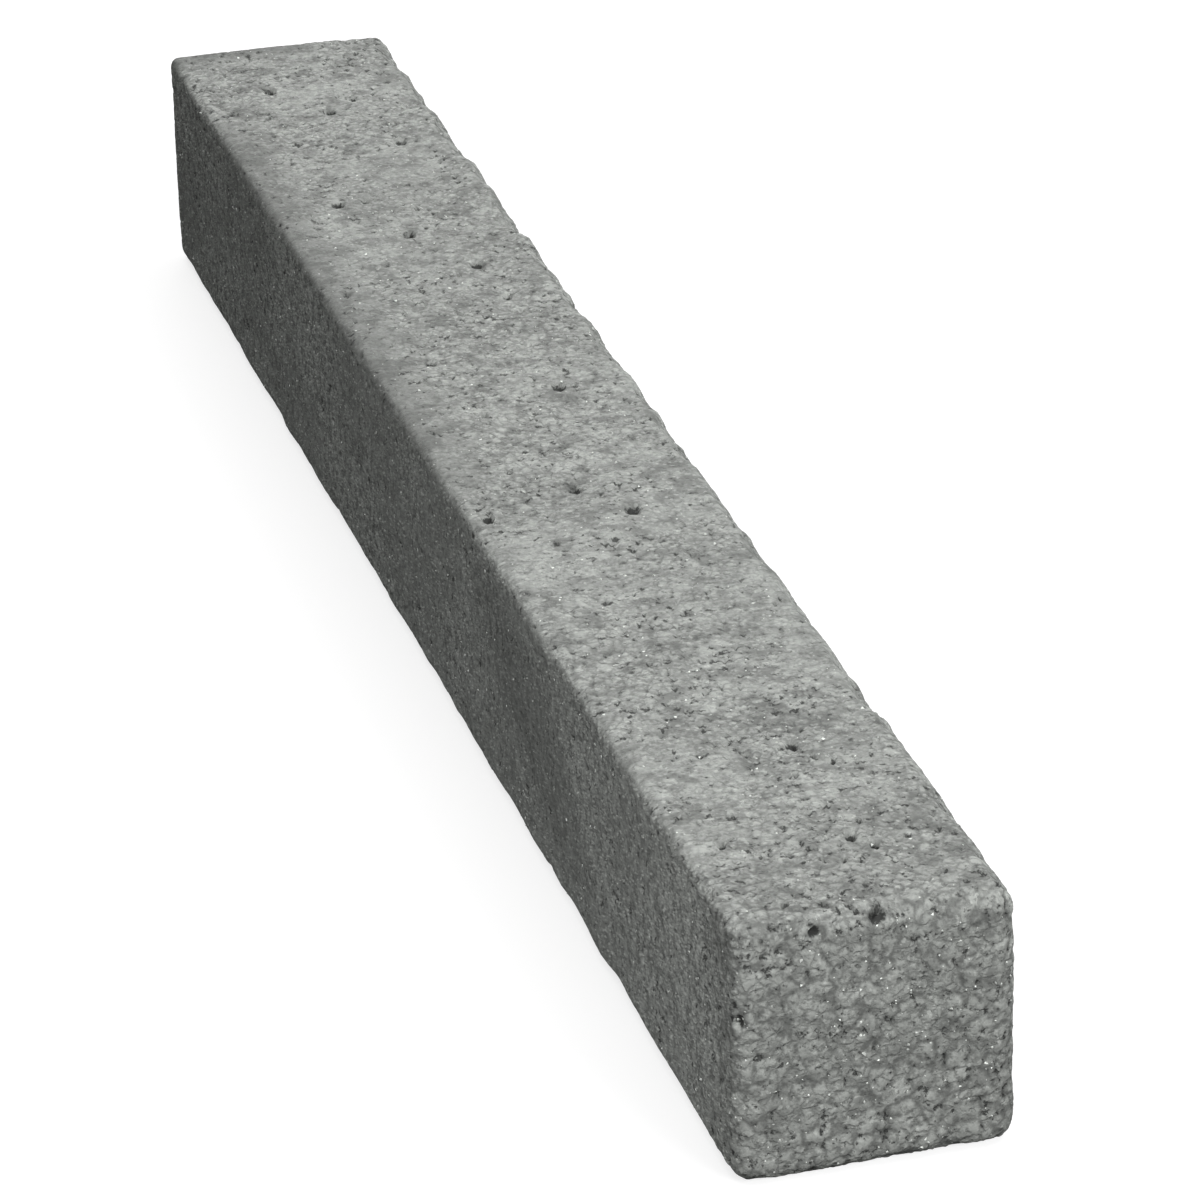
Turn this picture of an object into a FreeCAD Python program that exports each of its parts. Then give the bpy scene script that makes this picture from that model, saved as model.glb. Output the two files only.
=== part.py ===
import FreeCAD, Part
import math
import os

# Square sharpening stick: one solid bar of coarse abrasive grit, pressed to shape with a
# binder and fired.  It has no holder, handle or backing, so the whole object is one piece.
#
# Millimetres, +Z up.  The origin is the centre of the underside, +Y runs along the bar and
# +X across it.  The top, the underside and the two long sides are the honing faces, and the
# two small square faces are the ends.  The end at -Y is called the front end.

# Driving dimensions: a 150 x 16 x 16 stick, at the upper side of its pressing tolerance.
LENGTH = 150.0
WIDTH = 16.5
HEIGHT = 16.1

# The arris radii differ, because the edges have been worn by use and handling.
TOP_LEFT_RADIUS = 0.8
TOP_RIGHT_RADIUS = 1.2
BOTTOM_LEFT_RADIUS = 1.2
BOTTOM_RIGHT_RADIUS = 1.5
END_RADIUS = 0.6

# Grit has broken out of the top right arris in a row of shallow scallops.
SCALLOP_COUNT = 27
SCALLOP_SPHERE_RADIUS = 11.0
SCALLOP_BITE = 0.30
SCALLOP_WANDER = 1.2

# Single chips: place along the bar and depth, on the bottom left arris.
BOTTOM_CHIP_SPHERE_RADIUS = 1.6
BOTTOM_CHIPS = [(-35.0, 0.40), (-9.5, 0.22), (22.0, 0.20), (58.0, 0.25)]
CORNER_CHIP_SPHERE_RADIUS = 2.0
CORNER_CHIP_BITE = 0.7

# Open pores where a large grain has fallen out: centre (x, y, z) as offsets from the top
# centre of the front end, and radius.
FRONT_PORES = [
    ((0.1, 0.15, -0.35), 0.50),
    ((-3.6, 0.05, -0.75), 0.35),
    ((-8.05, 0.15, -5.7), 0.40),
]

HALF_LENGTH = LENGTH / 2
HALF_WIDTH = WIDTH / 2
DIAGONAL = math.sqrt(0.5)


def blank():
    """The plain bar, standing on Z = 0."""
    corner = FreeCAD.Vector(-HALF_WIDTH, -HALF_LENGTH, 0)
    return Part.makeBox(WIDTH, LENGTH, HEIGHT, corner)


def long_arris(shape, x_side, z_level):
    """The straight edge along Y on one side of the bar, at one level."""
    for edge in shape.Edges:
        box = edge.BoundBox
        on_side = abs(box.Center.x - x_side * HALF_WIDTH) < 0.01
        on_level = abs(box.Center.z - z_level) < 0.01
        if box.YLength > LENGTH / 2 and on_side and on_level:
            return edge
    raise ValueError("no arris there")


def end_loop(shape, y_side):
    """The edges around one end face, which join smoothly at the rounded corners."""
    place = y_side * HALF_LENGTH
    loop = []
    for edge in shape.Edges:
        box = edge.BoundBox
        if box.YLength < 0.01 and abs(box.Center.y - place) < 0.01:
            loop.append(edge)
    return loop


def round_arrises(shape):
    """Round the four long arrises, each to its own radius, and then both ends."""
    arrises = [
        (-1, HEIGHT, TOP_LEFT_RADIUS),
        (1, HEIGHT, TOP_RIGHT_RADIUS),
        (-1, 0.0, BOTTOM_LEFT_RADIUS),
        (1, 0.0, BOTTOM_RIGHT_RADIUS),
    ]
    for x_side, z_level, radius in arrises:
        shape = shape.makeFillet(radius, [long_arris(shape, x_side, z_level)])
    for y_side in (-1, 1):
        shape = shape.makeFillet(END_RADIUS, end_loop(shape, y_side))
    return shape


def arris_bite(x_side, z_side, y, arris_radius, sphere_radius, bite):
    """A sphere that bites into a rounded long arris, square to the arris at 45 degrees."""
    mid_level = HEIGHT / 2
    arc_x = x_side * (HALF_WIDTH - arris_radius)
    arc_z = mid_level + z_side * (mid_level - arris_radius)
    reach = (arris_radius + sphere_radius - bite) * DIAGONAL
    centre = FreeCAD.Vector(arc_x + x_side * reach, y, arc_z + z_side * reach)
    return Part.makeSphere(sphere_radius, centre)


def scallops():
    """The row of shallow scallops on the top right arris, unevenly spaced and deep."""
    pitch = LENGTH / (SCALLOP_COUNT + 1)
    cutters = []
    for index in range(SCALLOP_COUNT):
        y = -HALF_LENGTH + pitch * (index + 1) + SCALLOP_WANDER * math.sin(2.4 * index)
        bite = SCALLOP_BITE * (1.0 + 0.35 * math.sin(1.7 * index + 0.6))
        sphere = arris_bite(1, 1, y, TOP_RIGHT_RADIUS, SCALLOP_SPHERE_RADIUS, bite)
        cutters.append(sphere)
    return cutters


def bottom_chips():
    """The chips on the bottom left arris, and the chipped corner at its back end."""
    cutters = []
    for y, bite in BOTTOM_CHIPS:
        sphere = arris_bite(-1, -1, y, BOTTOM_LEFT_RADIUS, BOTTOM_CHIP_SPHERE_RADIUS, bite)
        cutters.append(sphere)
    corner_y = HALF_LENGTH + CORNER_CHIP_SPHERE_RADIUS / 2
    corner = arris_bite(
        -1, -1, corner_y, BOTTOM_LEFT_RADIUS, CORNER_CHIP_SPHERE_RADIUS, CORNER_CHIP_BITE
    )
    cutters.append(corner)
    return cutters


def pores():
    """The open pores at the front end."""
    top_of_front = FreeCAD.Vector(0, -HALF_LENGTH, HEIGHT)
    cutters = []
    for offset, radius in FRONT_PORES:
        cutters.append(Part.makeSphere(radius, top_of_front + FreeCAD.Vector(*offset)))
    return cutters


def abrasive_stick():
    """The finished stick: rounded bar, less its scallops, chips and pores."""
    bar = round_arrises(blank())
    return bar.cut(scallops() + bottom_chips() + pores())


os.makedirs("parts", exist_ok=True)
stick = abrasive_stick().Solids[0]
stick.exportStep("parts/abrasive_stick.step")
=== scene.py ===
import math

import bmesh
import bpy
import numpy as np
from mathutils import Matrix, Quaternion, Vector


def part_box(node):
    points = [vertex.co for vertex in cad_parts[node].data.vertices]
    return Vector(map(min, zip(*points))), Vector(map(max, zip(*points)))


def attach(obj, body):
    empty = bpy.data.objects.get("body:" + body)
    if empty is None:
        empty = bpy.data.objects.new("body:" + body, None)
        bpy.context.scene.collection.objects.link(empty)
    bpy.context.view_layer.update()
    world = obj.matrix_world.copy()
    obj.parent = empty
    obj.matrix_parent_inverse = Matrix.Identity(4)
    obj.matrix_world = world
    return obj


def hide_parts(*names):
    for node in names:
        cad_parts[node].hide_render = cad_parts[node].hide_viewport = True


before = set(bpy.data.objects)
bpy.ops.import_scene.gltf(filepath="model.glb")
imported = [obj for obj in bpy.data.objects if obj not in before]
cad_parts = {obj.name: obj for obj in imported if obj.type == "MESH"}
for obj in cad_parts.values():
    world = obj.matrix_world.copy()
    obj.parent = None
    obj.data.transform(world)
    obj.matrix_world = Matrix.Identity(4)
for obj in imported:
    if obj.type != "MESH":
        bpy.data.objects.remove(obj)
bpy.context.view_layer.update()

# A square stick of bonded abrasive grit.  Its skin is one closed mesh, moved in and out by
# slow waves, pressed lumps, single grains, the gaps between them, pits and open pores.
# Crystal facets, with real highlights and a pale colour as painted glints, are a second mesh
# that sits in the skin of the first.
# Lengths in this script are metres, and MM turns millimetres into them.

MM = 0.001
STONE_NODE = "abrasive_stick"
LOW, HIGH = (np.array(corner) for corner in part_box(STONE_NODE))
SIZE = HIGH - LOW
MIDDLE = (LOW + HIGH) / 2


# ---------------------------------------------------------------- noise fields

def turned(points, seed):
    """Points turned by odd angles from the seed, so that no noise lattice lines up with a face."""
    a, b = 0.7 + 0.9 * seed, 0.4 + 0.5 * seed
    about_z = np.array([[math.cos(a), -math.sin(a), 0], [math.sin(a), math.cos(a), 0], [0, 0, 1]])
    about_x = np.array([[1, 0, 0], [0, math.cos(b), -math.sin(b)], [0, math.sin(b), math.cos(b)]])
    return points @ (about_z @ about_x).T


def lattice_random(cells, seed, channel=0):
    """A repeatable random number from 0 to 1 for each whole-number lattice cell."""
    key = cells.astype(np.int64)
    mixed = key[..., 0] * 73856093 ^ key[..., 1] * 19349663 ^ key[..., 2] * 83492791
    mixed = (mixed + seed * 2654435761 + channel * 40503) & 0xFFFFFFFF
    for _ in range(2):
        mixed = ((mixed >> 15) ^ mixed) * 0x2C1B3C6D & 0xFFFFFFFF
        mixed = ((mixed >> 13) ^ mixed) * 0x297A2D39 & 0xFFFFFFFF
    return (mixed >> 8) / float(1 << 24)


# Added to every place in a lattice, so that none is negative.
LATTICE_SHIFT = 1000.0


def in_lattice(points, size, seed):
    """Where points lie in a noise lattice, in cells."""
    return turned(points, seed) / size + LATTICE_SHIFT


def smooth_noise(points, size, seed):
    """Smooth noise from -1 to 1 whose bumps are about one size across."""
    place = in_lattice(points, size, seed)
    base = np.floor(place)
    f = place - base
    eased = f * f * f * (f * (f * 6 - 15) + 10)
    total = 0.0
    for corner in np.ndindex(2, 2, 2):
        weight = np.prod(np.where(corner, eased, 1 - eased), axis=-1)
        total = total + weight * lattice_random(base + corner, seed)
    return 2 * total - 1


def layered_noise(points, size, seed, layers):
    """Smooth noise in several layers, each half as large and half as strong as the last."""
    scales = [0.5 ** layer for layer in range(layers)]
    total = 0.0
    for layer, scale in enumerate(scales):
        total = total + scale * smooth_noise(points, size * scale, seed + 17 * layer)
    return total / sum(scales)


def cell_noise(points, size, seed):
    """The distance to the nearest scattered point, in cells, and that point's own random."""
    place = in_lattice(points, size, seed)
    base = np.floor(place)
    nearest = np.full(len(place), np.inf)
    owner = np.zeros(len(place))
    for step in np.ndindex(3, 3, 3):
        cell = base + np.array(step) - 1
        spot = cell + np.stack([lattice_random(cell, seed, c) for c in (1, 2, 3)], axis=-1)
        away = np.sqrt(((spot - place) ** 2).sum(axis=-1))
        nearer = away < nearest
        owner = np.where(nearer, lattice_random(cell, seed, 4), owner)
        nearest = np.where(nearer, away, nearest)
    return nearest, owner


def ramp(value, start, end):
    """0 at the start, 1 at the end, level beyond them, and smooth between them."""
    t = np.clip((value - start) / (end - start), 0.0, 1.0)
    return t * t * (3 - 2 * t)


def fade(value, start, end):
    """1 at the start, 0 at the end, level beyond them, and smooth between them."""
    return ramp(value, end, start)


# ---------------------------------------------------------------- the bar's plain shape

# The spacing of the skin's points: across the bar and in a band at each end, and along the
# rest of it.
ACROSS_STEP = 0.17 * MM
ALONG_STEP = 0.32 * MM
END_BAND = 2.4 * MM

# Radii of the long arrises.  The top right one is worn rounder towards the front.
TOP_LEFT = 0.6 * MM
TOP_RIGHT_FRONT = 1.7 * MM
TOP_RIGHT_BACK = 0.9 * MM
BOTTOM_LEFT = 1.2 * MM
BOTTOM_RIGHT = 1.5 * MM


def graded_line(low, high):
    """Places along the bar: finely spaced in a band at each end, coarser between."""
    fine = round(END_BAND / ACROSS_STEP)
    coarse = round((high - low - 2 * END_BAND) / ALONG_STEP)
    return np.concatenate([
        np.linspace(low, low + END_BAND, fine, endpoint=False),
        np.linspace(low + END_BAND, high - END_BAND, coarse, endpoint=False),
        np.linspace(high - END_BAND, high, fine + 1),
    ])


def even_line(low, high):
    """Evenly spaced places across the bar."""
    return np.linspace(low, high, round((high - low) / ACROSS_STEP) + 1)


def lattice_box(lines):
    """The points and outward quads on the six sides of a box lattice, all joined up."""
    counts = [len(line) for line in lines]
    quads = []
    for axis in range(3):
        u, v = [other for other in range(3) if other != axis]
        step_u, step_v = np.meshgrid(np.arange(counts[u] - 1), np.arange(counts[v] - 1))
        for side in (0, counts[axis] - 1):
            corners = np.zeros(step_u.shape + (4, 3), dtype=np.int64)
            corners[..., axis] = side
            for index, (du, dv) in enumerate(((0, 0), (1, 0), (1, 1), (0, 1))):
                corners[..., index, u] = step_u + du
                corners[..., index, v] = step_v + dv
            faces_up = (side > 0) != (axis == 1)
            quads.append(corners.reshape(-1, 4, 3)[:, ::1 if faces_up else -1])
    keys = np.ravel_multi_index(np.moveaxis(np.concatenate(quads), -1, 0), counts)
    used, faces = np.unique(keys, return_inverse=True)
    places = np.unravel_index(used, counts)
    points = np.stack([line[place] for line, place in zip(lines, places)], axis=1)
    return points, faces.reshape(-1, 4)


def arris_radius(points):
    """The rounding radius near a point, blended between the four long arrises."""
    across, along, up = ((points - LOW) / SIZE).T
    top_right = TOP_RIGHT_FRONT + (TOP_RIGHT_BACK - TOP_RIGHT_FRONT) * along ** 0.5
    top = TOP_LEFT + (top_right - TOP_LEFT) * across
    bottom = BOTTOM_LEFT + (BOTTOM_RIGHT - BOTTOM_LEFT) * across
    return bottom + (top - bottom) * up


def rounded(points):
    """Box points pulled in to rounded arrises, with the outward normal at each."""
    radius = arris_radius(points)[:, None]
    core = np.clip(points, LOW + radius, HIGH - radius)
    away = points - core
    normals = away / np.linalg.norm(away, axis=1, keepdims=True)
    return core + normals * radius, normals


# ---------------------------------------------------------------- chips and pores

# The scallops and chips are those of the CAD model, made by the same rules.  The scallops
# are placed from the arris radius that the CAD model has there.
SCALLOP_ARRIS = 1.2 * MM
SCALLOP_COUNT = 27
SCALLOP_RADIUS = 11.0 * MM
SCALLOP_BITE = 0.30 * MM
SCALLOP_WANDER = 1.2 * MM
BOTTOM_CHIP_RADIUS = 1.6 * MM
BOTTOM_CHIPS = [(-35.0 * MM, 0.40 * MM), (-9.5 * MM, 0.22 * MM)]
BOTTOM_CHIPS += [(22.0 * MM, 0.20 * MM), (58.0 * MM, 0.25 * MM)]
CORNER_CHIP_RADIUS = 2.0 * MM
CORNER_CHIP_BITE = 0.7 * MM


def bite_centre(side, up, along, arris, radius, bite):
    """Centre of a sphere that bites into a long arris, square to it at 45 degrees."""
    reach = (arris + radius - bite) * math.sqrt(0.5)
    arc = MIDDLE + np.array([side, 0, up]) * (SIZE / 2 - arris)
    return np.array([arc[0] + side * reach, MIDDLE[1] + along, arc[2] + up * reach])


def bite_out(points, centre, radius):
    """Move the points inside a sphere out to its surface, which leaves a round chip."""
    away = points - centre
    distance = np.linalg.norm(away, axis=1)
    inside = distance < radius
    points[inside] = centre + away[inside] * (radius / distance[inside])[:, None]


def bite_arrises(points):
    """The scallops on the top right arris, and the chips on the bottom left one."""
    pitch = SIZE[1] / (SCALLOP_COUNT + 1)
    for index in range(SCALLOP_COUNT):
        along = pitch * (index + 1) - SIZE[1] / 2 + SCALLOP_WANDER * math.sin(2.4 * index)
        bite = SCALLOP_BITE * (1.0 + 0.35 * math.sin(1.7 * index + 0.6))
        centre = bite_centre(1, 1, along, SCALLOP_ARRIS, SCALLOP_RADIUS, bite)
        bite_out(points, centre, SCALLOP_RADIUS)
    for along, bite in BOTTOM_CHIPS:
        centre = bite_centre(-1, -1, along, BOTTOM_LEFT, BOTTOM_CHIP_RADIUS, bite)
        bite_out(points, centre, BOTTOM_CHIP_RADIUS)
    corner = SIZE[1] / 2 + CORNER_CHIP_RADIUS / 2
    centre = bite_centre(-1, -1, corner, BOTTOM_LEFT, CORNER_CHIP_RADIUS, CORNER_CHIP_BITE)
    bite_out(points, centre, CORNER_CHIP_RADIUS)


# ---------------------------------------------------------------- painted shade, a smudge, and open grain

# The painted shade beside the rounded top left arris: its width, and where it starts and
# stops along the bar.  Each pair is a fade, from none to full or from full to none.
LEFT_SHADE_WIDTH = 4.6 * MM
LEFT_SHADE_FROM = (-25.0 * MM, 5.0 * MM)
LEFT_SHADE_TO = (52.0 * MM, 66.0 * MM)

# The painted shade on the top of the back end, where it rounds over: its depth, and how far
# across it reaches.
BACK_SHADE_DEPTH = (1.4 * MM, 3.4 * MM)
BACK_SHADE_REACH = (1.0 * MM, 4.0 * MM)

# Both bands stay on the top face: how far below it they fade.
SHADE_BELOW_TOP = (0.2 * MM, 0.9 * MM)

# The smudge on the left face: its middle along and up, its half sizes, its slope, its
# strength, and how much and over what size that varies.
SMUDGE_ALONG = -31.0 * MM
SMUDGE_UP = 9.0 * MM
SMUDGE_HALF_LENGTH = 17.0 * MM
SMUDGE_HALF_HEIGHT = 5.5 * MM
SMUDGE_SLOPE = 0.32
SMUDGE_STRENGTH = 0.72
SMUDGE_BLOTCHES = 0.35
SMUDGE_BLOTCH_SIZE = 5.0 * MM

# How open and lumpy the surface is, from 0 to 1: on the ends, on the long faces, and on the
# left one, which is struck flatter than the others.
END_OPEN = 1.0
FACE_OPEN = 0.50
LEFT_OPEN = 0.20

# The long faces vary by this share, in patches of this size, and the painted shade and the
# smudge close them by this share.
OPEN_PATCHES = 0.45
OPEN_PATCH_SIZE = 7.0 * MM
SHADE_AND_SMUDGE_CLOSES = 0.6

# The long faces open up again near the front: by how much, and over what stretch.
FRONT_OPEN = 0.55
FRONT_BAND = (-62.0 * MM, -76.0 * MM)


def smudge(points):
    """A soft dark smudge on the left face, from handling."""
    along = points[:, 1] - MIDDLE[1] - SMUDGE_ALONG
    up = points[:, 2] - LOW[2] - SMUDGE_UP - SMUDGE_SLOPE * along
    away = (along / SMUDGE_HALF_LENGTH) ** 2 + (up / SMUDGE_HALF_HEIGHT) ** 2
    blotchy = SMUDGE_STRENGTH + SMUDGE_BLOTCHES * smooth_noise(points, SMUDGE_BLOTCH_SIZE, 77)
    return fade(away, 0.0, 1.0) * blotchy * ramp(MIDDLE[0] - points[:, 0], 0.0, SIZE[0] / 2)


def worn(points):
    """How dark each point is made: painted shade by two rounded top arrises, and a handling smudge.
    """
    across, along, _ = (points - MIDDLE).T
    below_top = HIGH[2] - points[:, 2]
    from_back = HIGH[1] - points[:, 1]
    from_left = points[:, 0] - LOW[0]
    # Painted shade: beside the rounded top left arris, and where the top rounds over at the back end.
    left_shade = fade(from_left, 0.0, LEFT_SHADE_WIDTH) * ramp(along, *LEFT_SHADE_FROM) * fade(along, *LEFT_SHADE_TO)
    back_shade = fade(from_back, *BACK_SHADE_DEPTH) * fade(across, *BACK_SHADE_REACH)
    shade_bands = np.maximum(left_shade, back_shade) * fade(below_top, *SHADE_BELOW_TOP)
    return np.maximum(shade_bands, smudge(points))


def openness(points, normals):
    """How open and lumpy the surface is at each point, from 0 to 1."""
    end = ramp(np.abs(normals[:, 1]), 0.25, 0.75)
    left = ramp(-normals[:, 0], 0.4, 0.9)
    flat = FACE_OPEN + (LEFT_OPEN - FACE_OPEN) * left
    flat = flat * (1.0 + OPEN_PATCHES * smooth_noise(points, OPEN_PATCH_SIZE, 5))
    flat = flat * (1.0 - SHADE_AND_SMUDGE_CLOSES * worn(points))
    front = FRONT_OPEN * ramp(points[:, 1] - MIDDLE[1], *FRONT_BAND)
    return flat + (END_OPEN - flat) * np.maximum(end, front)


# Open pores where a large grain has fallen out, in millimetres: offset from the top centre
# of the front end, and radius.  The first three are in the CAD model too.
FRONT_PORES = [
    ((0.1, 0.15, -0.35), 0.50),
    ((-3.6, 0.05, -0.75), 0.35),
    ((-8.05, 0.15, -5.7), 0.40),
    ((7.65, 0.05, -0.95), 0.34),
]

# Ragged pits in the top face, in millimetres: across, along from the middle, and radius.
# Each is drawn out along the bar by this much, and is this strong, where a pore is 1.
TOP_PIT_LENGTH = 1.5
TOP_PIT_STRENGTH = 0.88
TOP_PITS = [
    (2.0, -18.3, 0.50), (3.2, 25.7, 0.46), (2.8, 2.6, 0.44), (3.9, 51.1, 0.44),
    (-3.3, 40.2, 0.42), (0.5, 59.1, 0.44), (-7.0, -16.8, 0.36), (1.3, -66.0, 0.34),
    (2.3, -67.4, 0.26), (-4.2, 9.3, 0.38), (0.1, 32.8, 0.42), (1.6, -53.8, 0.38),
    (-2.8, 64.6, 0.42), (-0.6, -14.1, 0.36), (-1.3, 40.3, 0.28), (3.7, 19.2, 0.28),
]

# A pore's field is 1 in its middle and falls evenly to 0 at this many radii.
PORE_REACH = 1.7

# Small scattered pores: the cell that holds at most one, the share of cells that do, and
# the smallest radius and the range above it, in cells.
PORE_CELL = 3.2 * MM
PORE_SHARE = 0.5
PORE_SMALLEST = 0.04
PORE_RANGE = 0.06


def pore_field(points, centre, radius, length=1.0):
    """How near each point is to one pore, which is drawn out along the bar by its length."""
    away = np.linalg.norm((points - centre) / (1.0, length, 1.0), axis=1)
    return np.clip(1.0 - away / (radius * PORE_REACH), 0.0, 1.0)


def pores(points):
    """The pores and pits that have their own places, and small ones scattered all over."""
    away, owner = cell_noise(points, PORE_CELL, 63)
    radius = PORE_SMALLEST + PORE_RANGE * owner / PORE_SHARE
    field = np.clip(1.0 - away / (radius * PORE_REACH), 0.0, 1.0) * (owner < PORE_SHARE)
    front = np.array([MIDDLE[0], LOW[1], HIGH[2]])
    for offset, radius in FRONT_PORES:
        field = np.maximum(field, pore_field(points, front + np.array(offset) * MM, radius * MM))
    for across, along, radius in TOP_PITS:
        centre = np.array([MIDDLE[0] + across * MM, MIDDLE[1] + along * MM, HIGH[2]])
        pit = TOP_PIT_STRENGTH * pore_field(points, centre, radius * MM, TOP_PIT_LENGTH)
        field = np.maximum(field, pit)
    return field


# ---------------------------------------------------------------- grit fields, as nodes

# The sizes of pressed lumps and of single grains, the spacing of the gaps between grains,
# and how far a gap reaches to either side, in cells.
LUMP_SIZE = 1.35 * MM
GRAIN_SIZE = 0.55 * MM
GRAIN_GAP_SPACING = 0.70 * MM
CREASE_WIDTH = 0.20


def plug(tree, socket, value):
    """Link a socket to another one, or set it to a number or vector."""
    if isinstance(value, bpy.types.NodeSocket):
        tree.links.new(value, socket)
    else:
        socket.default_value = value


def add(tree, kind, **values):
    """A node with its inputs and settings given by name."""
    made = tree.nodes.new(kind)
    for name, value in values.items():
        socket = name.replace("_", " ")
        if socket in made.inputs:
            plug(tree, made.inputs[socket], value)
        else:
            setattr(made, name, value)
    return made


def math_node(tree, operation, first, second=0.0, third=0.0):
    """One arithmetic step."""
    made = tree.nodes.new("ShaderNodeMath")
    made.operation = operation
    for socket, value in zip(made.inputs, (first, second, third)):
        plug(tree, socket, value)
    return made.outputs[0]


def ranged(tree, value, low, high, to_low=0.0, to_high=1.0):
    """A value moved from one range to another, smoothly and with no overshoot."""
    made = tree.nodes.new("ShaderNodeMapRange")
    made.interpolation_type = "SMOOTHSTEP"
    names = ("Value", "From Min", "From Max", "To Min", "To Max")
    for name, number in zip(names, (value, low, high, to_low, to_high)):
        plug(tree, made.inputs[name], number)
    return made.outputs["Result"]


def noise(tree, place, size, detail, roughness=0.5):
    """Fractal noise with bumps of about one size."""
    made = add(tree, "ShaderNodeTexNoise", Vector=place, Scale=1 / size)
    made.inputs["Detail"].default_value = detail
    made.inputs["Roughness"].default_value = roughness
    return made


def ragged(tree, place, size, reach):
    """A place pushed about by noise, which makes the outlines of cells ragged."""
    push = noise(tree, place, size, 3.0, 0.6)
    made = tree.nodes.new("ShaderNodeVectorMath")
    made.operation = "MULTIPLY_ADD"
    plug(tree, made.inputs[0], push.outputs["Color"])
    made.inputs[1].default_value = (reach, reach, reach)
    plug(tree, made.inputs[2], place)
    return made.outputs[0]


def cells(tree, place, size, feature):
    """Scattered cells of about one size."""
    made = tree.nodes.new("ShaderNodeTexVoronoi")
    made.feature = feature
    plug(tree, made.inputs["Vector"], place)
    made.inputs["Scale"].default_value = 1 / size
    return made


def own_random(tree, voronoi):
    """Each cell's own random number."""
    split = tree.nodes.new("ShaderNodeSeparateXYZ")
    plug(tree, split.inputs[0], voronoi.outputs["Color"])
    return split.outputs[0]


def crease(tree, place, size, width, presence):
    """Broken dark creases between cells, 1 along the crease, where presence is high."""
    edge = cells(tree, place, size, "DISTANCE_TO_EDGE").outputs["Distance"]
    line = ranged(tree, edge, width, 0.0)
    return math_node(tree, "MULTIPLY", line, presence)


def pit_field(tree, place, openness, crumbs, blur):
    """Small ragged pits where the crumbs are lowest, thickest in some regions."""
    region = noise(tree, place, 3.5 * MM, 2.0, 0.5).outputs["Fac"]
    edge = math_node(tree, "MULTIPLY_ADD", openness, 0.015, 0.278)
    edge = math_node(tree, "MULTIPLY_ADD", region, 0.20, edge)
    below = math_node(tree, "SUBTRACT", edge, crumbs)
    return ranged(tree, below, -0.01 * blur, 0.045 * blur)


def grit_fields(tree, place, openness, blur):
    """The gaps in the grit, from 0 to 1, in four kinds, and the lumps' and grains' randoms.

    The relief and the colour of the skin are both made from these nodes, so that a gap with
    painted shade in it is also a deep one.
    follow.
    """
    bent = ragged(tree, place, 0.50 * MM, 0.60 * MM)
    patch = noise(tree, place, 1.1 * MM, 3.0, 0.6).outputs["Fac"]
    crumbs = noise(tree, place, 0.60 * MM, 6.0, 0.70).outputs["Fac"]
    struck = ranged(tree, openness, 0.10, 0.70, 0.25, 1.0)
    lumpy = ranged(tree, openness, 0.20, 0.95, 0.15, 1.0)

    broken = ranged(tree, patch, 0.43, 0.57, 0.05, 1.0)
    lump_gap = crease(tree, bent, LUMP_SIZE, CREASE_WIDTH * blur, broken)
    crumbled = ranged(tree, patch, 0.60, 0.44)
    grain_gap = crease(tree, bent, GRAIN_GAP_SPACING, CREASE_WIDTH * blur, crumbled)
    valley = ranged(tree, crumbs, 0.49, 0.36)
    return {
        "lump": own_random(tree, cells(tree, bent, LUMP_SIZE, "F1")),
        "grain": own_random(tree, cells(tree, bent, GRAIN_SIZE, "F1")),
        "pit": pit_field(tree, place, openness, crumbs, blur),
        "lump_gap": math_node(tree, "MULTIPLY", lump_gap, lumpy),
        "grain_gap": math_node(tree, "MULTIPLY", grain_gap, struck),
        "valley": math_node(tree, "MULTIPLY", valley, struck),
    }


# ---------------------------------------------------------------- the skin

# How much lumps and grains differ in height, and how deep each kind of gap is.
LUMP_STEP = 0.04 * MM
GRAIN_STEP = 0.02 * MM
GAP_DEPTHS = {
    "lump_gap": 0.12 * MM,
    "grain_gap": 0.05 * MM,
    "valley": 0.06 * MM,
    "pit": 0.22 * MM,
}
PORE_DEPTH = 0.45 * MM

# The skin is raised by this much, so that it lies about the bar's true faces.
SWELL = 0.12 * MM

# Slow waves in the faces.
WAVE_HEIGHT = 0.16 * MM
WAVE_SIZE = 4.5 * MM


def stored_values(tree):
    """Outputs that read what the skin's vertices carry."""
    kinds = {"rest": "FLOAT_VECTOR", "out": "FLOAT_VECTOR", "open": "FLOAT", "pore": "FLOAT"}
    stored = {}
    for name, kind in kinds.items():
        reader = tree.nodes.new("GeometryNodeInputNamedAttribute")
        reader.data_type = kind
        reader.inputs["Name"].default_value = name
        stored[name] = reader.outputs["Attribute"]
    return stored


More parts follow.
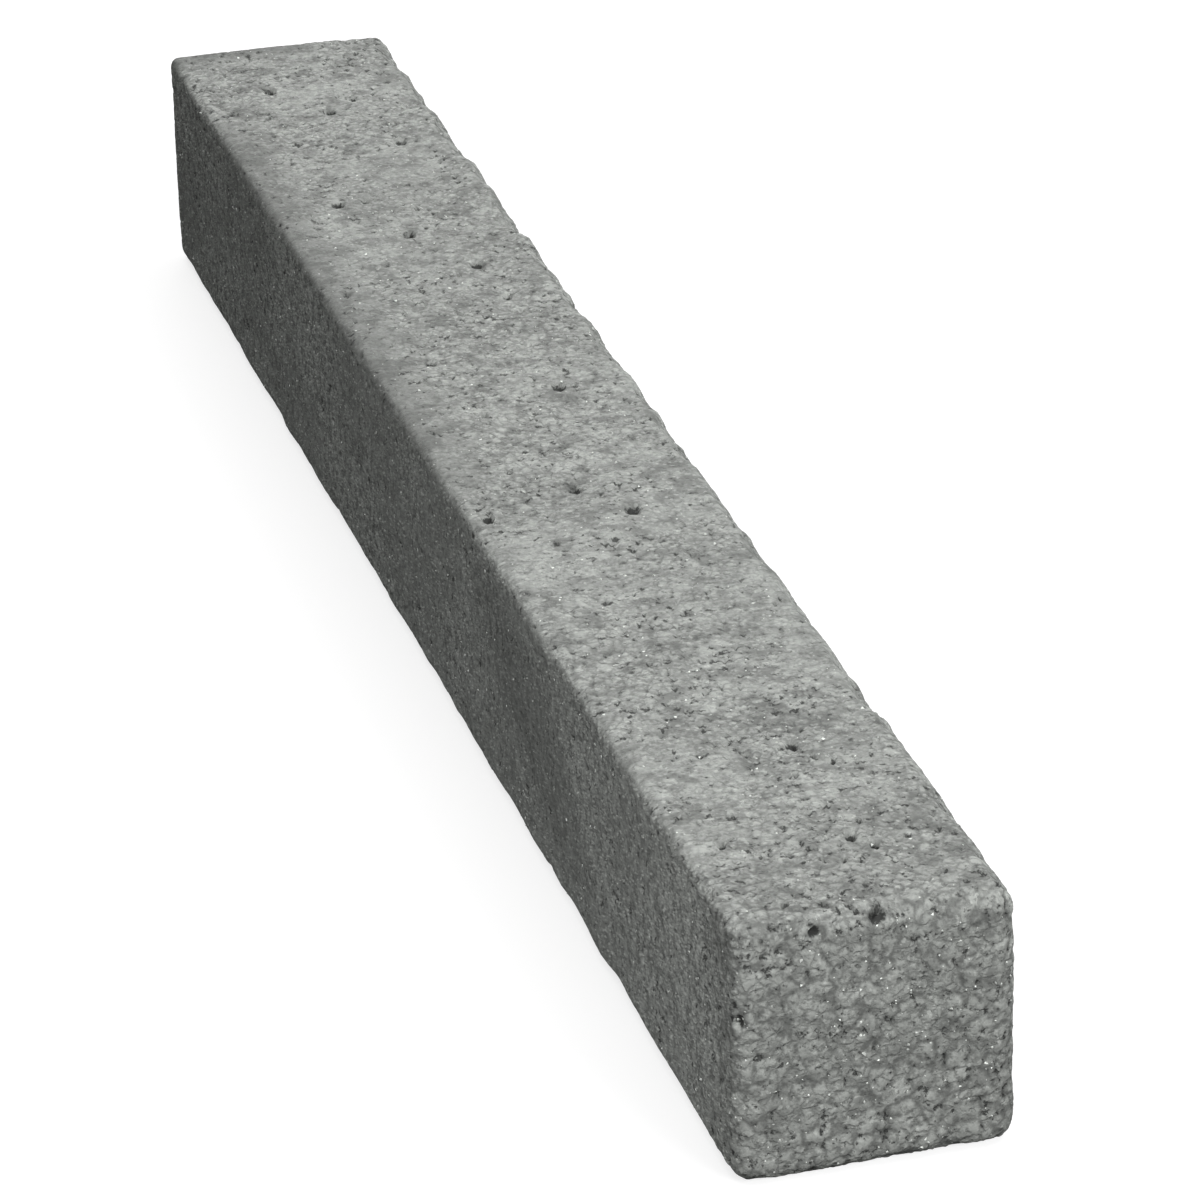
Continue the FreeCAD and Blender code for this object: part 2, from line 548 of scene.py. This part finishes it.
def relief_tree():
    """Geometry nodes that raise lumps and sink gaps and pores along the stored normals."""
    tree = bpy.data.node_groups.new("grit_relief", "GeometryNodeTree")
    tree.interface.new_socket("Geometry", in_out="INPUT", socket_type="NodeSocketGeometry")
    tree.interface.new_socket("Geometry", in_out="OUTPUT", socket_type="NodeSocketGeometry")
    stored = stored_values(tree)
    field = grit_fields(tree, stored["rest"], stored["open"], blur=2.0)
    height = math_node(tree, "MULTIPLY_ADD", field["lump"], LUMP_STEP, -LUMP_STEP / 2)
    height = math_node(tree, "MULTIPLY_ADD", field["grain"], GRAIN_STEP, height)
    height = math_node(tree, "MULTIPLY", height, stored["open"])
    for name, depth in GAP_DEPTHS.items():
        height = math_node(tree, "MULTIPLY_ADD", field[name], -depth, height)
    hole = ranged(tree, stored["pore"], 0.2, 0.6)
    height = math_node(tree, "MULTIPLY_ADD", hole, -PORE_DEPTH, height)
    height = math_node(tree, "ADD", height, SWELL)
    offset = tree.nodes.new("ShaderNodeVectorMath")
    offset.operation = "SCALE"
    plug(tree, offset.inputs[0], stored["out"])
    plug(tree, offset.inputs["Scale"], height)
    mover = tree.nodes.new("GeometryNodeSetPosition")
    plug(tree, mover.inputs["Geometry"], tree.nodes.new("NodeGroupInput").outputs[0])
    plug(tree, mover.inputs["Offset"], offset.outputs[0])
    plug(tree, tree.nodes.new("NodeGroupOutput").inputs[0], mover.outputs[0])
    return tree


def mesh_object(name, points, faces, material, smooth):
    """A mesh object from arrays, linked into the scene."""
    mesh = bpy.data.meshes.new(name)
    mesh.from_pydata(points.tolist(), [], faces.tolist())
    mesh.polygons.foreach_set("use_smooth", [smooth] * len(mesh.polygons))
    mesh.materials.append(material)
    thing = bpy.data.objects.new(name, mesh)
    bpy.context.scene.collection.objects.link(thing)
    return thing


def store(thing, name, values):
    """Store one number or vector per vertex, for the nodes to read."""
    vector = values.ndim == 2
    layer = thing.data.attributes.new(name, "FLOAT_VECTOR" if vector else "FLOAT", "POINT")
    data = np.asarray(values, dtype=np.float32).ravel()
    layer.data.foreach_set("vector" if vector else "value", data)


def apply_modifiers(thing):
    """Give the object the mesh that its modifiers make, and drop them."""
    graph = bpy.context.evaluated_depsgraph_get()
    shaped = thing.evaluated_get(graph)
    mesh = bpy.data.meshes.new_from_object(shaped, preserve_all_data_layers=True, depsgraph=graph)
    thing.modifiers.clear()
    thing.data = mesh
    mesh.name = thing.name


def vertex_array(thing):
    """The object's vertices as an array."""
    flat = np.zeros(3 * len(thing.data.vertices))
    thing.data.vertices.foreach_get("co", flat)
    return flat.reshape(-1, 3)


def stone_skin(material):
    """The whole outer surface of the stick, with its points, normals and faces as arrays."""
    lines = [even_line(LOW[0], HIGH[0]), graded_line(LOW[1], HIGH[1]), even_line(LOW[2], HIGH[2])]
    points, faces = lattice_box(lines)
    points, normals = rounded(points)
    bite_arrises(points)
    waves = WAVE_HEIGHT * layered_noise(points, WAVE_SIZE, 31, layers=2)
    points += normals * waves[:, None]
    skin = mesh_object("stone_skin", points, faces, material, smooth=True)
    store(skin, "rest", points)
    store(skin, "out", normals)
    store(skin, "open", openness(points, normals))
    store(skin, "pore", pores(points))
    store(skin, "side", ramp(np.abs(normals[:, 0]), 0.5, 0.9))
    # Painted shade by two top arrises, and a smudge, for the material to darken.
    store(skin, "worn", worn(points))
    skin.modifiers.new("relief", "NODES").node_group = relief_tree()
    apply_modifiers(skin)
    shaped = vertex_array(skin)
    shaped[:, 2] = np.maximum(shaped[:, 2], LOW[2])
    skin.data.vertices.foreach_set("co", shaped.ravel())
    skin.data.update()
    return skin, shaped, normals, faces


# ---------------------------------------------------------------- crystal facets, pale as painted glints

CRYSTALS_PER_SQUARE_MM_END = 0.8
CRYSTALS_PER_SQUARE_MM_SIDE = 0.22

# A crystal's usual radius, the spread of its logarithm, and the part of it that is sunk.
CRYSTAL_SIZE = 0.085 * MM
CRYSTAL_SPREAD = 0.3
CRYSTAL_SUNK = 0.35

# An octahedron: the six points on its axes, and its faces, anticlockwise from outside.
SPIKES = np.array([[1, 0, 0], [0, 1, 0], [-1, 0, 0], [0, -1, 0], [0, 0, 1], [0, 0, -1]], float)
SPIKE_FACES = [(0, 1, 4), (1, 2, 4), (2, 3, 4), (3, 0, 4), (1, 0, 5), (2, 1, 5), (3, 2, 5), (0, 3, 5)]


def crystal_spots(draw, points, normals, faces):
    """The skin faces that hold a crystal: their centres and outward directions."""
    corners = points[faces]
    centres = corners.mean(axis=1)
    diagonals = corners[:, 2] - corners[:, 0], corners[:, 3] - corners[:, 1]
    areas = np.linalg.norm(np.cross(*diagonals), axis=1) / 2
    facing = normals[faces].mean(axis=1)
    end = ramp(np.abs(facing[:, 1]), 0.3, 0.8)
    density = CRYSTALS_PER_SQUARE_MM_SIDE * (1 - end) + CRYSTALS_PER_SQUARE_MM_END * end
    chance = areas / MM ** 2 * density
    chosen = np.flatnonzero(draw.random(len(faces)) < chance)
    return centres[chosen], facing[chosen]


def crystal_facets(points, normals, faces, material):
    """Small sharp crystals that stand out of the skin, thickest on the open ends."""
    draw = np.random.default_rng(11)
    centres, facing = crystal_spots(draw, points, normals, faces)
    count = len(centres)
    spikes = SPIKES * draw.uniform(0.6, 1.3, (count, len(SPIKES), 1))
    size = CRYSTAL_SIZE * np.exp(CRYSTAL_SPREAD * draw.standard_normal(count))
    turn = np.linalg.qr(draw.standard_normal((count, 3, 3)))[0]
    shape = np.einsum("nij,nkj->nki", turn, spikes) * size[:, None, None]
    base = centres - facing * (CRYSTAL_SUNK * size)[:, None]
    shape = shape + base[:, None, :]
    shape[..., 2] = np.maximum(shape[..., 2], LOW[2])
    mirrored = np.linalg.det(turn) < 0
    triangles = np.tile(np.array(SPIKE_FACES), (count, 1, 1))
    triangles[mirrored] = triangles[mirrored][:, :, ::-1]
    triangles = triangles + len(SPIKES) * np.arange(count)[:, None, None]
    corners, sides = shape.reshape(-1, 3), triangles.reshape(-1, 3)
    return mesh_object("crystal_facets", corners, sides, material, smooth=False)


# ---------------------------------------------------------------- materials

STONE_TINT = (1.0, 1.035, 0.983)
NEUTRAL = (1.0, 1.0, 1.0)


def grey(level, tint=STONE_TINT):
    """A grey, with the stone's slight green cast unless another tint is given."""
    return tuple(level * part for part in tint) + (1.0,)


def mix_colour(tree, first, second, amount):
    """One colour laid over another."""
    made = add(tree, "ShaderNodeMix", data_type="RGBA")
    # The node's sockets for colours share their names with those for numbers.
    plug(tree, made.inputs[0], amount)
    plug(tree, made.inputs[6], first)
    plug(tree, made.inputs[7], second)
    return made.outputs[2]


def glazed(tree, base, coats):
    """A colour under thin coats of grey.

    Each coat has its grey level, its field, the field's value where the coat starts and
    where it is full, and its strength when it is full.
    """
    for level, field, start, full, strength in coats:
        amount = ranged(tree, field, start, full, 0.0, strength)
        base = mix_colour(tree, base, grey(level), amount)
    return base


def new_material(name):
    """An empty node material with a Principled shader."""
    made = bpy.data.materials.new(name)
    made.use_nodes = True
    shader = made.node_tree.nodes["Principled BSDF"]
    return made, made.node_tree, shader


# The long sides' specks are drawn out by this much along the bar, falling at this slope.
SPECK_DRAW = 3.6
SPECK_SLOPE = math.radians(18.0)


def side_tone(tree, place):
    """The long sides' colour: fine specks drawn out along the bar, and broad blotches."""
    drawn = add(tree, "ShaderNodeMapping", vector_type="TEXTURE", Vector=place)
    drawn.inputs["Rotation"].default_value = (-SPECK_SLOPE, 0.0, 0.0)
    drawn.inputs["Scale"].default_value = (1.0, SPECK_DRAW, 1.0)
    drawn = drawn.outputs[0]
    speckle = noise(tree, drawn, 0.16 * MM, 3.0, 0.70).outputs["Fac"]
    shade = own_random(tree, cells(tree, drawn, 0.11 * MM, "F1"))
    mottle = noise(tree, place, 0.9 * MM, 4.0, 0.7).outputs["Fac"]
    blotch = noise(tree, place, 16.0 * MM, 2.0).outputs["Fac"]
    return glazed(tree, mix_colour(tree, grey(0.27), grey(0.41), shade), [
        (0.70, speckle, 0.46, 0.70, 0.8),
        (0.13, speckle, 0.50, 0.30, 0.8),
        (0.13, mottle, 0.54, 0.36, 0.6),
        (0.54, mottle, 0.48, 0.64, 0.4),
        (0.26, blotch, 0.60, 0.40, 0.5),
        (0.85, shade, 0.90, 0.94, 0.4),
    ])


def top_tone(tree, place, lump, speckle, shade):
    """The colour of the top and the ends: pale lumps, grains of many greys, and mottling."""
    mottle = noise(tree, place, 1.7 * MM, 4.0, 0.62).outputs["Fac"]
    cloud = noise(tree, place, 11.0 * MM, 2.0).outputs["Fac"]
    return glazed(tree, mix_colour(tree, grey(0.335), grey(0.45), lump), [
        (0.26, shade, 1.0, 0.0, 0.3),
        (0.50, speckle, 0.50, 0.75, 0.5),
        (0.18, speckle, 0.50, 0.28, 0.7),
        (0.17, mottle, 0.52, 0.35, 0.73),
        (0.52, mottle, 0.50, 0.66, 0.25),
        (0.24, cloud, 0.35, 0.65, 0.2),
        (0.70, shade, 0.90, 0.96, 0.25),
    ])


# The heights of the fine bump, in millimetres: specks stand out, and pits and gaps sink.
SPECK_BUMP = 0.10
PIT_BUMP = 0.08
GRAIN_GAP_BUMP = 0.05


def fine_relief(tree, speckle, field):
    """A bump finer than the mesh, from specks, pits and grain gaps."""
    height = math_node(tree, "MULTIPLY", speckle, SPECK_BUMP)
    height = math_node(tree, "MULTIPLY_ADD", field["pit"], -PIT_BUMP, height)
    height = math_node(tree, "MULTIPLY_ADD", field["grain_gap"], -GRAIN_GAP_BUMP, height)
    return add(tree, "ShaderNodeBump", Strength=1.0, Distance=MM, Height=height)


def stone_material():
    """Fired grit: its colour, then painted shade by two arrises with a handling smudge, and
    painted shade in the dark gaps and the torn pores over it.
    """
    made, tree, shader = new_material("bonded_grit")
    place = add(tree, "ShaderNodeAttribute", attribute_name="rest").outputs["Vector"]
    skin = {}
    for name in ("open", "pore", "side", "worn"):
        skin[name] = add(tree, "ShaderNodeAttribute", attribute_name=name).outputs["Fac"]
    field = grit_fields(tree, place, skin["open"], blur=1.0)
    speckle = noise(tree, place, 0.34 * MM, 4.0, 0.65).outputs["Fac"]
    shade = own_random(tree, cells(tree, place, 0.22 * MM, "F1"))

    top = top_tone(tree, place, field["lump"], speckle, shade)
    base = mix_colour(tree, top, side_tone(tree, place), skin["side"])
    # Painted shade by two top arrises with a smudge, and painted shade in valleys, gaps and pits.
    dark_coats = [
        (0.13, skin["worn"], 0.65),
        (0.11, field["valley"], 0.75),
        (0.10, field["grain_gap"], 0.4),
        (0.08, field["lump_gap"], 0.7),
        (0.06, field["pit"], 0.75),
    ]
    for level, amount, strength in dark_coats:
        amount = math_node(tree, "MULTIPLY", amount, strength)
        base = mix_colour(tree, base, grey(level), amount)
    # Painted shade, near black, deep in the torn pores.
    shaded_pores = math_node(tree, "ADD", speckle, skin["pore"])
    base = glazed(tree, base, [(0.035, shaded_pores, 0.82, 1.02, 0.95)])
    plug(tree, shader.inputs["Base Color"], base)
    plug(tree, shader.inputs["Roughness"], ranged(tree, shade, 0.0, 1.0, 0.95, 0.65))
    plug(tree, shader.inputs["Normal"], fine_relief(tree, speckle, field).outputs["Normal"])
    shader.inputs["Specular IOR Level"].default_value = 0.2
    return made


def crystal_material():
    """Glossy facets with real highlights, and a pale colour that paints in glints as well, each cell
    of them a little different.
    """
    made, tree, shader = new_material("crystal_facet")
    place = add(tree, "ShaderNodeTexCoord").outputs["Object"]
    shade = own_random(tree, cells(tree, place, 0.25 * MM, "F1"))
    # Pale as painted glints, so that the facets look bright under any light.
    base = mix_colour(tree, grey(0.45), grey(0.95), ranged(tree, shade, 0.1, 0.8))
    plug(tree, shader.inputs["Base Color"], base)
    plug(tree, shader.inputs["Roughness"], ranged(tree, shade, 0.0, 1.0, 0.35, 0.12))
    return made


# ---------------------------------------------------------------- floor, light, camera

# The floor's radius in metres, how strongly it glows, and the grey of the background.
FLOOR_RADIUS = 6.0
FLOOR_GLOW = 0.76
AIR_LEVEL = 0.784


def floor_material():
    """Pale matt studio floor, lit evenly from within so that shadows on it stay light."""
    made, tree, shader = new_material("studio_floor")
    place = add(tree, "ShaderNodeTexCoord").outputs["Object"]
    cloud = noise(tree, place, 0.3, 2.0).outputs["Fac"]
    base = mix_colour(tree, grey(0.34, NEUTRAL), grey(0.36, NEUTRAL), cloud)
    plug(tree, shader.inputs["Base Color"], base)
    shader.inputs["Roughness"].default_value = 0.9
    shader.inputs["Specular IOR Level"].default_value = 0.2
    shader.inputs["Emission Color"].default_value = grey(1.0, NEUTRAL)
    shader.inputs["Emission Strength"].default_value = FLOOR_GLOW
    return made


def studio_floor():
    """A wide round floor under the stick, which throws no light onto it."""
    build = bmesh.new()
    bmesh.ops.create_circle(build, cap_ends=True, segments=96, radius=FLOOR_RADIUS)
    mesh = bpy.data.meshes.new("studio_floor")
    build.to_mesh(mesh)
    build.free()
    mesh.materials.append(floor_material())
    floor = bpy.data.objects.new("studio_floor", mesh)
    floor.location = (0.0, 0.0, LOW[2])
    floor.visible_diffuse = False
    floor.visible_glossy = False
    bpy.context.scene.collection.objects.link(floor)


def soft_light(name, place, aim, width, height, watts):
    """A rectangular soft light at a place, facing a point, and not seen itself."""
    data = bpy.data.lights.new(name, "AREA")
    data.shape = "RECTANGLE"
    data.size = width
    data.size_y = height
    data.energy = watts
    light = bpy.data.objects.new(name, data)
    light.location = place
    light.visible_camera = False
    light.rotation_euler = (Vector(aim) - Vector(place)).to_track_quat("-Z", "Y").to_euler()
    bpy.context.scene.collection.objects.link(light)


def studio_lights():
    """A top light, a key from the front right, back and side lights, and a near fill."""
    middle = tuple(MIDDLE)
    front_end = (MIDDLE[0], LOW[1], LOW[2] + 8.0 * MM)
    soft_light("top", (0.23, 0.1, 1.25), middle, 1.6, 1.6, 16.7)
    soft_light("key", (0.55, -0.95, 0.62), middle, 0.7, 0.5, 10.9)
    soft_light("back", (0.1, 0.9, 0.35), middle, 0.6, 0.4, 3.2)
    soft_light("fill", (-0.15, -0.21, 0.06), front_end, 0.10, 0.08, 0.22)
    soft_light("side", (-1.0, 0.35, 0.5), middle, 0.8, 0.8, 0.8)


def studio_air():
    """A pale even background that gives the stick no light."""
    world = bpy.data.worlds.new("studio_air")
    bpy.context.scene.world = world
    world.use_nodes = True
    background = world.node_tree.nodes["Background"]
    background.inputs["Color"].default_value = grey(AIR_LEVEL, NEUTRAL)
    background.inputs["Strength"].default_value = 1.0
    world.cycles_visibility.diffuse = False
    world.cycles_visibility.glossy = False


VIEW_AZIMUTH = math.radians(-14.79)
VIEW_ELEVATION = math.radians(24.64)
VIEW_ROLL = math.radians(-1.57)
VIEW_DISTANCE = 391.8 * MM
VIEW_AIM = MIDDLE + np.array([0.92, -13.86, 0.03]) * MM
LENS_MM = 183.25
SENSOR_MM = 36.0


def viewing_camera():
    """A long lens that looks down the stick from above its front left corner."""
    data = bpy.data.cameras.new("view")
    data.lens = LENS_MM
    data.sensor_width = SENSOR_MM
    data.clip_start = 0.01
    data.clip_end = 20.0
    data.dof.use_dof = False
    camera = bpy.data.objects.new("view", data)
    level = math.cos(VIEW_ELEVATION)
    back = Vector((
        math.sin(VIEW_AZIMUTH) * level,
        -math.cos(VIEW_AZIMUTH) * level,
        math.sin(VIEW_ELEVATION),
    ))
    camera.location = Vector(VIEW_AIM) + back * VIEW_DISTANCE
    turn = (-back).to_track_quat("-Z", "Y") @ Quaternion((0, 0, 1), VIEW_ROLL)
    camera.rotation_euler = turn.to_euler()
    bpy.context.scene.collection.objects.link(camera)
    bpy.context.scene.camera = camera


# ---------------------------------------------------------------- assembly

def build_scene():
    """The stick, its crystals, and the studio."""
    bpy.context.scene.view_settings.view_transform = "Standard"
    skin, points, normals, faces = stone_skin(stone_material())
    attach(skin, "root")
    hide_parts(STONE_NODE)
    crystals = crystal_facets(points, normals, faces, crystal_material())
    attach(crystals, "root")
    viewing_camera()
    studio_floor()
    studio_lights()
    studio_air()


build_scene()
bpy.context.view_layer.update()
